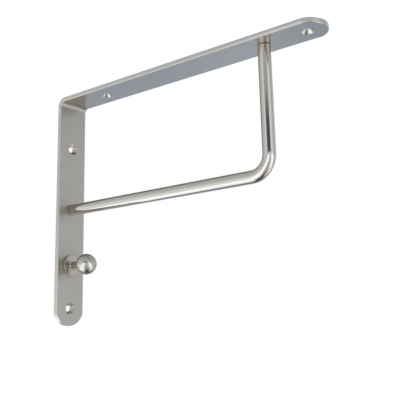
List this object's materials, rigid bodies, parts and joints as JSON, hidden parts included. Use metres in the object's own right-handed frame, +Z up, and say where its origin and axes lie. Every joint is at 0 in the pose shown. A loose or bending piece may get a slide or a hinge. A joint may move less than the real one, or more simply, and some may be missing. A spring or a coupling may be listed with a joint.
{
  "type": "clothes rail bracket",
  "caption": "Shelf bracket bent from flat steel with rounded ends and countersunk holes, a round rail closing its corner for clothes hangers, and a ball knob for a coat.",
  "frame": {"origin": "on the wall face of the strip, midway between the two wall holes, on the strip's centre line", "axes": "+Z up, +Y into the wall, so the arm points along -Y; X across the strip's width"},
  "size_m": [0.03, 0.267, 0.205],
  "materials": {
    "strip_nickel": "satin nickel plate",
    "rail_nickel": "satin nickel plate",
    "knob_nickel": "satin nickel plate",
    "zinc_screw": "bright zinc plate"
  },
  "bodies": {
    "root": {"bracket_strip": "strip_nickel", "hanging_rail": "rail_nickel", "coat_knob": "knob_nickel", "rail_wall_screw": "zinc_screw", "rail_shelf_screw": "zinc_screw", "knob_screw": "zinc_screw"}
  },
  "joints": []
}
